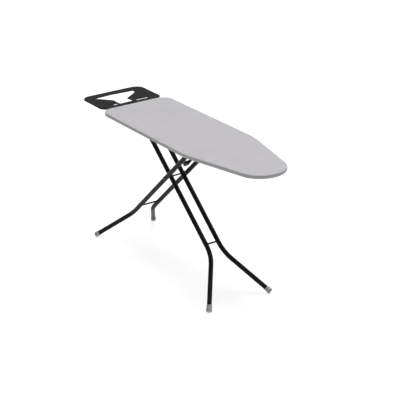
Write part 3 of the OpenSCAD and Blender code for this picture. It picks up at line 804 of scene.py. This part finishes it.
def make_rest():
    """Pressed tray: one skin from the inside of the rim, over the rolled edge, across the top and down into each opening."""
    verts, faces = [], []

    def strip(loop, prof, sign):
        """prof is (offset outwards, z); returns the index of its last ring."""
        n, base = len(loop), len(verts)
        for d, z in prof:
            for p, nn in loop:
                q = p + nn * d * sign
                verts.append(Vector((q.x, q.y, z)))
        for i in range(len(prof) - 1):
            for j in range(n):
                a, c = base + i * n + j, base + i * n + (j + 1) % n
                faces.append((a, c, c + n, a + n))
        return base + (len(prof) - 1) * n

    outer = rest_loop()
    roll = [(0, REST_Z - 5.5), (0.0, REST_Z - 4.2), (0.0, REST_Z - 2.2)]
    roll += [(-1.8 + 1.8 * math.cos(t * math.pi / 16), REST_Z - 1.8 + 1.8 * math.sin(t * math.pi / 16)) for t in range(1, 9)]
    roll += [(-7, REST_Z), (-12, REST_Z)]
    loops = [(outer, strip(outer, roll, 1))]
    holes = [fillet_loop(CUT, 6.0)]
    for a, c in ((-92, -68), (36, 100)):
        holes.append(fillet_loop([(-42, a), (-34, a), (-34, c), (-42, c)], 3.95, 8))
    for h, rad, deep in zip(holes, (0.9, 0.35, 0.35), (0.9, 0.05, 0.05)):
        p = [(0.0, REST_Z - rad - deep)] + [(rad - rad * math.cos(t * math.pi / 12), REST_Z - rad + rad * math.sin(t * math.pi / 12)) for t in range(0, 7)]
        p += [(rad + 1.4, REST_Z)]
        loops.append((h, strip(h, p, 1)))
    pts, edges, ids = [], [], []
    for lp, k in loops:
        n, b0 = len(lp), len(pts)
        for j in range(n):
            pts.append(Vector((verts[k + j].x, verts[k + j].y)))
            ids.append(k + j)
            edges.append((b0 + j, b0 + (j + 1) % n))
    res = geometry.delaunay_2d_cdt(pts, edges, [], 0, 1e-6)
    hole_polys = [[(pts[i].x, pts[i].y) for i in range(sum(len(l[0]) for l in loops[:k]), sum(len(l[0]) for l in loops[:k + 1]))] for k in range(4)]

    def inside(poly, x, y):
        c, j = False, len(poly) - 1
        for i in range(len(poly)):
            if (poly[i][1] > y) != (poly[j][1] > y) and x < (poly[j][0] - poly[i][0]) * (y - poly[i][1]) / (poly[j][1] - poly[i][1]) + poly[i][0]:
                c = not c
            j = i
        return c

    for f in res[2]:
        cx = sum(res[0][i].x for i in f) / len(f)
        cy = sum(res[0][i].y for i in f) / len(f)
        if inside(hole_polys[0], cx, cy) and not any(inside(h, cx, cy) for h in hole_polys[1:]):
            faces.append(tuple(ids[res[3][i][0]] for i in f))
    o = piece("iron_rest_tray", verts, faces, "board", "rest", ("rest_plate",), angle=45)
    s = o.modifiers.new("gauge", "SOLIDIFY")
    s.thickness = 1.1 * MM
    s.offset = -1
    s.use_even_offset = True
    return o


# ---------------------------------------------------------------------- legs
def leg_path(origin, u, corner_s, foot, y, s, end_cut):
    base = Vector((origin[0], s * y, origin[2]))
    corner = base + u * corner_s
    q = side(foot, s)
    d = (q - corner).normalized()
    beta = math.acos(u.dot(d))
    tl = BEND_R * math.tan(beta / 2)
    nrm = u.cross(d).normalized()
    e2 = nrm.cross(u)
    p1 = corner - u * tl
    c = p1 + e2 * BEND_R
    path = []
    for t in (-EXT + 0.1, -EXT + 1, 0, 100, 200, 300, 340, 420, 520, 620, 700):
        if t < (p1 - base).length - 10:
            path.append(base + u * t)
    path.append(p1 - u * 4)
    m = 18
    for k in range(m + 1):
        a = beta * k / m
        path.append(c + (-e2 * math.cos(a) + u * math.sin(a)) * BEND_R)
    p2 = corner + d * tl
    rest = (q - p2).length - end_cut
    for t in (0.02, 0.2, 0.4, 0.6, 0.8, 1.0):
        path.append(p2 + d * (rest * t))
    return path, nrm, d


def make_tube(name, node, origin, u, corner_s, foot, y, dia, s, body):
    path, nrm, d = leg_path(origin, u, corner_s, foot, y, s, CAP_END + 6)
    b = Build()
    outer = sweep(path, dia / 2, 48, nrm)
    inner = sweep(path, dia / 2 - 1.2, 48, nrm)
    rings = outer + inner[::-1]
    m = 48
    verts = [v for r in rings for v in r]
    k = len(rings)
    faces = []
    for i in range(k):
        for j in range(m):
            a, c = i * m + j, i * m + (j + 1) % m
            e, f = ((i + 1) % k) * m + (j + 1) % m, ((i + 1) % k) * m + j
            faces.append((a, c, e, f))
    piece(name, verts, faces, body, "tube", (node,), angle=40)
    return d


def weld(b, u, at, s, dia, rod_r, bead=1.5):
    """Bead where a cross rod along Y meets a tube along u; at is on the tube's axis."""
    e = u.cross(Vector((0, 1, 0))).normalized()
    path = []
    for k in range(28):
        t = 2 * math.pi * k / 28
        r = rod_r + 0.5
        x, z = r * math.cos(t), r * math.sin(t)
        yy = math.sqrt((dia / 2) ** 2 - z * z)
        path.append(at + u * x + e * z + Vector((0, -s * (yy + 0.2), 0)))
    rr = sweep(path, bead, 8, (0, 1, 0), True, lambda i: bead * (1 + 0.16 * math.sin(i * 2.3) + 0.08 * math.sin(i * 5.1)))
    m, k = 8, len(rr)
    b.add([v for r in rr for v in r], [(i * m + j, i * m + (j + 1) % m, ((i + 1) % k) * m + (j + 1) % m, ((i + 1) % k) * m + j) for i in range(k) for j in range(m)])


def make_crossbar(name, node, origin, u, s0, y, dia, body):
    p = Vector(origin) + u * s0
    b = Build()
    half = y - math.sqrt((dia / 2) ** 2 - 16) + 0.6
    n = 24
    path = [Vector((p.x, -half + 2 * half * k / n, p.z)) for k in range(n + 1)]
    b.rings(sweep(path, 4.0, 24, (0, 0, 1)))
    for s in (-1, 1):
        weld(b, u, Vector((p.x, s * y, p.z)), s, dia, 4.0)
    piece(name, b.v, b.f, body, "tube", (node,), angle=60)


def make_foot(name, node, foot, d, s, dia, body):
    """Barrel cap: flared, with grip rings at its mouth, a rounded end and a flat on the floor."""
    q = side(foot, s)
    e = Vector((d.x, abs(d.y) * s, d.z))
    rot = Vector((0, 0, 1)).rotation_difference(e)
    ex, ey = rot @ Vector((1, 0, 0)), rot @ Vector((0, 1, 0))
    r0 = dia / 2
    R = r0 + 3.1
    end = q - e * CAP_END
    prof = [(0.0, -6.2), (r0 - 2.5, -6.2), (r0 + 0.12, -6.2), (r0 + 0.12, -18), (r0 + 0.12, -CAP_L + 0.3), (r0 + 0.4, -CAP_L),
            (r0 + 0.95, -CAP_L + 0.12), (r0 + 1.4, -CAP_L + 0.6), (r0 + 1.6, -CAP_L + 1.3)]
    for k in range(1, 40):
        t = -CAP_L + 1.3 + k * (CAP_L - 1.3 - 3.8) / 39
        z = t + CAP_L
        r = r0 + 1.6 + 0.2 * min(1, (z - 1.3) / 11) if z < 12 else r0 + 1.8 + 1.0 * ((z - 12) / 10) if z < 22 else r0 + 2.8 + 0.3 * min(1, (z - 22) / 4.3)
        for g in (5.0, 7.6, 10.2):
            r -= 0.38 * math.exp(-((z - g) / 0.42) ** 2)
        prof.append((r, t))
    for k in range(0, 9):
        a = math.radians(k * 11.25)
        prof.append((R - 3.8 + 3.8 * math.cos(a), -3.8 + 3.8 * math.sin(a)))
    prof += [(R - 6.0, 0.0), (R - 9.0, -0.02), (0.0, -0.02)]
    n = 72
    rings = []
    for r, t in prof[1:-1]:
        ring = []
        for k in range(n):
            a = 2 * math.pi * k / n
            p = end + e * t + (ex * math.cos(a) + ey * math.sin(a)) * r
            if p.z < 0.0:
                p.z = 0.0
            elif p.z < 0.5 and r > r0 + 0.2:
                p.z = p.z * (0.5 + p.z)
            ring.append(p)
        rings.append(ring)
    b = Build()
    b.rings(rings, True, True, True)
    piece(name, b.v, b.f, body, "foot", (node,), angle=55)


def cap_profile(bore, r):
    return soften([(bore, 0), (r, 0), (r, 2.2), (r - 1.2, 4.4), (r - 3.2, 5.6), (0.0, 6.2)], 0.8)


def y_axis(s):
    return (0, s, 0)


def make_hardware():
    # hinge
    b = Build()
    b.lathe(soften([(0, -FY - 15.4), (4, -FY - 15.4), (4, FY + 15.4), (0, FY + 15.4)], 0.4), (HX, 0, Z_AX), (0, 1, 0))
    piece("hinge_axle_rod", b.v, b.f, "board", "zinc", ("hinge_axle",), angle=40)
    b = Build()
    for s in (-1, 1):
        b.lathe(cap_profile(4.02, 7.6), (HX, s * (FY + FD / 2 + 0.6), Z_AX), (0, s, 0), 40)
    piece("hinge_cap_pair", b.v, b.f, "board", "plug", ("hinge_caps",), angle=50)
    b = Build()
    for s in (-1, 1):
        y0, y1 = 17.5 + 2.3, FY - FD / 2 - 0.3
        b.lathe(soften_loop([(4.1, y0), (7.5, y0), (7.5, y1), (4.1, y1)], 0.3), (HX, 0, Z_AX), (0, s, 0), 36)
    piece("hinge_washer_pair", b.v, b.f, "front_legs", "nylon", ("hinge_washers",), angle=50)
    # pivot
    b = Build()
    b.lathe(soften([(0, -RY - 13.4), (4, -RY - 13.4), (4, RY + 13.4), (0, RY + 13.4)], 0.4), PIV, (0, 1, 0))
    piece("pivot_axle_rod", b.v, b.f, "rear_legs", "dark", ("pivot_axle",), angle=40)
    b = Build()
    for s in (-1, 1):
        b.lathe(cap_profile(4.02, 7.2), (PIV[0], s * (RY + RD / 2 + 0.1), PIV[2]), (0, s, 0), 40)
    piece("pivot_nut_pair", b.v, b.f, "rear_legs", "dark", ("pivot_nuts",), angle=50)
    b = Build()
    for s in (-1, 1):
        y0, y1 = FY + FD / 2 + 0.3, RY - RD / 2 - 0.05
        b.lathe(soften_loop([(4.02, y0), (8.5, y0), (8.5, y1), (4.02, y1)], 0.2), (PIV[0], 0, PIV[2]), (0, s, 0), 36)
    piece("pivot_washer_pair", b.v, b.f, "rear_legs", "nylon", ("pivot_washers",), angle=50)
    # slide
    b = Build()
    b.lathe(soften([(0, -RAIL_Y - 8), (5, -RAIL_Y - 8), (5, RAIL_Y + 8), (0, RAIL_Y + 8)], 0.5), (SX, 0, Z_AX), (0, 1, 0))
    piece("slide_axle_rod", b.v, b.f, "rear_legs", "zinc", ("slide_axle",), angle=40)
    b = Build()
    for s in (-1, 1):
        b.lathe(soften_loop([(5.02, -3.6), (10, -3.6), (10, -0.5), (7, -0.5), (7, 2.6), (5.02, 2.6)], 0.3), (SX, s * RAIL_Y, Z_AX), (0, s, 0), 40)
    piece("glide_bush_pair", b.v, b.f, "rear_legs", "nylon", ("glide_bushes",), angle=50)
    b = Build()
    for s in (-1, 1):
        b.lathe(cap_profile(5.02, 10.5), (SX, s * (RAIL_Y + 3.8), Z_AX), (0, s, 0), 40)
    piece("slide_cap_pair", b.v, b.f, "rear_legs", "plug", ("slide_caps",), angle=50)
    b = Build()
    for y0, y1 in ((-RY + RD / 2 + 0.1, -6.8), (17.5, RY - RD / 2 - 0.1)):
        b.lathe(soften_loop([(5.02, y0), (6.5, y0), (6.5, y1), (5.02, y1)], 0.3), (SX, 0, Z_AX), (0, 1, 0), 36)
    piece("lever_sleeve_pair", b.v, b.f, "rear_legs", "dark", ("lever_sleeves",), angle=50)
    # tube plugs
    for name, node, o, u, y, dia, body in (("front_plug_pair", "front_tube_plugs", (HX, 0, Z_AX), UF, FY, FD, "front_legs"),
                                          ("rear_plug_pair", "rear_tube_plugs", (SX, 0, Z_AX), UR, RY, RD, "rear_legs")):
        b = Build()
        r = dia / 2
        for s in (-1, 1):
            at = Vector((o[0], s * y, o[2])) - u * EXT
            b.lathe(soften([(0, -6), (r - 1.3, -6), (r - 1.3, 0.05), (r - 0.1, 0.05), (r - 0.15, 0.8), (r - 0.6, 1.6), (r - 2.4, 2.4), (0, 2.6)], 0.3), at, -u, 48)
        piece(name, b.v, b.f, body, "plug", (node,), angle=50)
    # rivets and screws
    slide_lo = HX + 2 * ARM * math.cos(math.radians(58.2)) - 8
    slide_hi = HX + 2 * ARM * math.cos(math.radians(3.8)) + 10
    spots = [(HX + a * 18, c * 34) for a in (-1, 1) for c in (-1, 1)]
    spots += [(x, s * (RAIL_Y + 9)) for x in (slide_lo - 4, SX - 60, SX + 40, slide_hi + 4) for s in (-1, 1)]
    spots += [(x, s * 7) for x in (slide_lo + 10, SX - 80, SX + 60) for s in (-1, 1)]
    b = Build()
    for x, y in spots:
        b.lathe(soften([(0, -0.2), (3.4, -0.2), (3.35, 0.4), (3.1, 0.9), (2.6, 1.35), (2, 1.6), (1.2, 1.75), (0, 1.8)], 0.2), (x, y, Z_UNDER - 1.5), (0, 0, -1), 24)
    piece("deck_rivet_set", b.v, b.f, "board", "zinc", ("deck_rivets",), angle=60)
    b = Build()
    for s in (-1, 1):
        for x in (-170, -60, 59):
            z = Z_UNDER - 2.5 if x > 0 else REST_Z - 1.2 - 2.5
            at = Vector((x, s * 128, z))
            # pan head with a hexagonal socket
            n, rings = 36, []
            for r, h in ((4.2, -0.1), (4.2, 0.9), (4.0, 1.5), (3.5, 2.1), (2.9, 2.5), (2.3, 2.75)):
                rings.append([at + Vector((r * math.cos(2 * math.pi * k / n), r * math.sin(2 * math.pi * k / n), -h)) for k in range(n)])
            for r, h in ((1.75, 2.8), (1.7, 1.3)):
                rings.append([at + Vector((r * math.cos(2 * math.pi * k / n) / max(abs(math.cos(((2 * math.pi * k / n) % (math.pi / 3)) - math.pi / 6)), 0.5) * 0.93,
                                           r * math.sin(2 * math.pi * k / n) / max(abs(math.cos(((2 * math.pi * k / n) % (math.pi / 3)) - math.pi / 6)), 0.5) * 0.93, -h)) for k in range(n)])
            b.rings(rings)
    piece("rest_screw_set", b.v, b.f, "board", "dark", ("rest_screws",), angle=45)


def make_spring():
    """Torsion spring: close coils and two straight legs."""
    path = []
    turns, n = 4, 28
    for i in range(turns * n + 1):
        t = i / n
        path.append(Vector((SX + 7.6 * math.cos(2 * math.pi * t), 8.4 + 1.9 * t, Z_AX + 7.6 * math.sin(2 * math.pi * t))))
    first, last = path[0], path[-1]
    lead = [first + Vector((0, -0.02 * k, 0)) + Vector((0, 0, -1)) * k for k in range(14, 0, -2)]
    tail = [last + Vector((0, 0.05 * k, 0)) + Vector((0, 0, 1)) * k for k in range(2, 9, 2)]
    b = Build()
    b.rings(sweep(lead + path + tail, 0.8, 12, (0, 1, 0)))
    piece("lever_torsion_spring", b.v, b.f, "rear_legs", "wire", ("lever_spring",), angle=60)


def make_grip():
    """Moulded grip: rounded block, hollowed finger side, thumb ridges."""
    nx, ny, nzz = 10, 22, 18
    hx, hy, hz = 9.0, 12.0, 16.0
    lever_l = 198.0
    bm = bmesh.new()
    bmesh.ops.create_cube(bm, size=2.0)
    bmesh.ops.subdivide_edges(bm, edges=bm.edges, cuts=13, use_grid_fill=True)
    for v in bm.verts:
        x, y, z = v.co
        # superellipsoid-like rounding of a block
        px, py, pz = x * hx, y * hy, z * hz
        r = 4.0
        cx = max(-hx + r, min(hx - r, px)); cy = max(-hy + r, min(hy - r, py)); cz = max(-hz + r, min(hz - r, pz))
        d = Vector((px - cx, py - cy, pz - cz))
        if d.length > 1e-6:
            d = d.normalized() * r
        p = Vector((cx, cy, cz)) + d
        # finger side (towards the deck) dished, thumb side ridged
        if p.x > 0:
            p.x -= 1.3 * (1 - (p.y / hy) ** 2) * max(0.0, 1 - (p.z / hz) ** 2) * (p.x / hx) ** 2
        else:
            w = max(0.0, 1 - (p.y / (hy - 3)) ** 4) if abs(p.y) < hy - 3 else 0.0
            p.x += 0.5 * w * (1 - math.cos(p.z * 2 * math.pi / 4.5)) * 0.5 * min(1.0, (abs(p.x) / hx) ** 4) if abs(p.z) < hz - 4 else 0.0
        v.co = p
    me = bpy.data.meshes.new("moulded_lever_grip")
    # local frame of the arm: z runs back up the arm towards the axle
    q = Matrix.Rotation(math.pi / 2 - ANG, 4, "Y")
    for v in bm.verts:
        c = v.co + Vector((0, -8.5, -lever_l))
        w = q @ c
        v.co = place((SX + w.x, w.y, Z_AX + w.z))
    bmesh.ops.recalc_face_normals(bm, faces=bm.faces)
    bm.to_mesh(me)
    bm.free()
    me.polygons.foreach_set("use_smooth", [True] * len(me.polygons))
    me.materials.append(M["grip"])
    o = bpy.data.objects.new("moulded_lever_grip", me)
    bpy.context.scene.collection.objects.link(o)
    sub = o.modifiers.new("smooth", "SUBSURF")
    sub.levels = sub.render_levels = 1
    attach(o, "release_lever_body")
    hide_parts("lever_grip")


# ---------------------------------------------------------------- build it all
make_cover()
make_pad()
make_deck()
make_rim()
make_rest()
HP, SP = (HX, 0, Z_AX), (SX, 0, Z_AX)
for s, w in ((1, "left"), (-1, "right")):
    df = make_tube("front_leg_tube_" + w, "front_tube_" + w, HP, UF, FRONT_CORNER, FRONT_FOOT, FY, FD, s, "front_legs")
    dr = make_tube("rear_leg_tube_" + w, "rear_tube_" + w, SP, UR, REAR_CORNER, REAR_FOOT, RY, RD, s, "rear_legs")
    make_foot("front_foot_cap_" + w, "front_foot_" + w, FRONT_FOOT, df, s, FD, "front_legs")
    make_foot("rear_foot_cap_" + w, "rear_foot_" + w, REAR_FOOT, dr, s, RD, "rear_legs")
make_crossbar("front_crossbar_rod", "front_crossbar", HP, UF, 722, FY, FD, "front_legs")
make_crossbar("rear_crossbar_rod", "rear_crossbar", SP, UR, 706, RY, RD, "rear_legs")
make_hardware()
make_spring()
make_grip()
for node in ("cross_rib_rear", "cross_rib_middle", "cross_rib_front", "cross_rib_nose"):
    refine(node, "board", "galv", 0.5)
refine("height_rack", "board", "galv", 0.25)
for node in ("hinge_bracket", "guide_rail_left", "guide_rail_right", "rest_bracket_left", "rest_bracket_right"):
    refine(node, "board", "steel_black", 0.45)
refine("release_lever", "release_lever_body", "steel_black", 0.5)


# --------------------------------------------------------------- floor, light
def stage():
    size = 90.0
    me = bpy.data.meshes.new("floor")
    me.from_pydata([(-size, -size, -0.0006), (size, -size, -0.0006), (size, size, -0.0006), (-size, size, -0.0006)], [], [(0, 1, 2, 3)])
    m, nt, b = new_mat("pale_floor")
    k = Net(nt)
    col = k.ramp(k.noise(3.0, 3), [(0.3, (0.22, 0.22, 0.221)), (0.7, (0.23, 0.23, 0.231))])
    k.link(col, b.inputs["Base Color"])
    b.inputs["Roughness"].default_value = 0.9
    b.inputs["Specular IOR Level"].default_value = 0.0
    b.inputs["Emission Color"].default_value = (1, 1, 1, 1)
    b.inputs["Emission Strength"].default_value = FLOOR_GLOW
    me.materials.append(m)
    o = bpy.data.objects.new("floor", me)
    bpy.context.scene.collection.objects.link(o)


FLOOR_GLOW = 0.82
stage()
world = bpy.data.worlds.new("studio")
bpy.context.scene.world = world
world.use_nodes = True
bg = world.node_tree.nodes.get("Background") or world.node_tree.nodes.new("ShaderNodeBackground")
bg.inputs["Color"].default_value = (1, 1, 1, 1)
wn = Net(world.node_tree)
# a studio dome: pale near the horizon, dimmer half way up, soft overhead
height = wn.math("MAXIMUM", wn.xyz(world.node_tree.nodes.new("ShaderNodeTexCoord").outputs["Generated"])[2], 0.0)
above = wn.math("ADD", wn.math("MULTIPLY", wn.math("POWER", height, 1.5), 0.15), 0.0)
wn.link(wn.math("ADD", above, wn.mapr(height, 0.06, 0.15, 0.99, 0.0)), bg.inputs["Strength"])


def sun(name, energy, angle, direction):
    d = bpy.data.lights.new(name, "SUN")
    d.energy = energy
    d.angle = math.radians(angle)
    o = bpy.data.objects.new(name, d)
    o.rotation_mode = "QUATERNION"
    o.rotation_quaternion = Vector(direction).to_track_quat("-Z", "Y")
    bpy.context.scene.collection.objects.link(o)


sun("overhead", 2.98, 30, (0.06, -0.04, -1))
sun("side", 1.95, 48, (0.12, -0.80, -1))

# camera
az, el, roll = math.radians(58.70), math.radians(22.25), math.radians(-2.34)
back = Vector((math.sin(az) * math.cos(el), -math.cos(az) * math.cos(el), math.sin(el)))
fwd = -back
right = fwd.cross(Vector((0, 0, 1))).normalized()
up = right.cross(fwd)
r2 = right * math.cos(roll) + up * math.sin(roll)
u2 = -right * math.sin(roll) + up * math.cos(roll)
eye = Vector((582.48 - MID, 0, 402.87)) * MM + back * 6.15688
cam_data = bpy.data.cameras.new("camera")
cam_data.lens = 1335.47 / 400 * 36
cam_data.sensor_width = 36
cam_data.clip_start, cam_data.clip_end = 0.1, 200
cam = bpy.data.objects.new("camera", cam_data)
cam.matrix_world = Matrix.Translation(eye) @ Matrix((r2, u2, back)).transposed().to_4x4()
bpy.context.scene.collection.objects.link(cam)
bpy.context.scene.camera = cam

sc = bpy.context.scene
sc.view_settings.view_transform = "Standard"
sc.view_settings.look = "None"
sc.view_settings.exposure = 0
sc.view_settings.gamma = 1

bpy.context.view_layer.update()
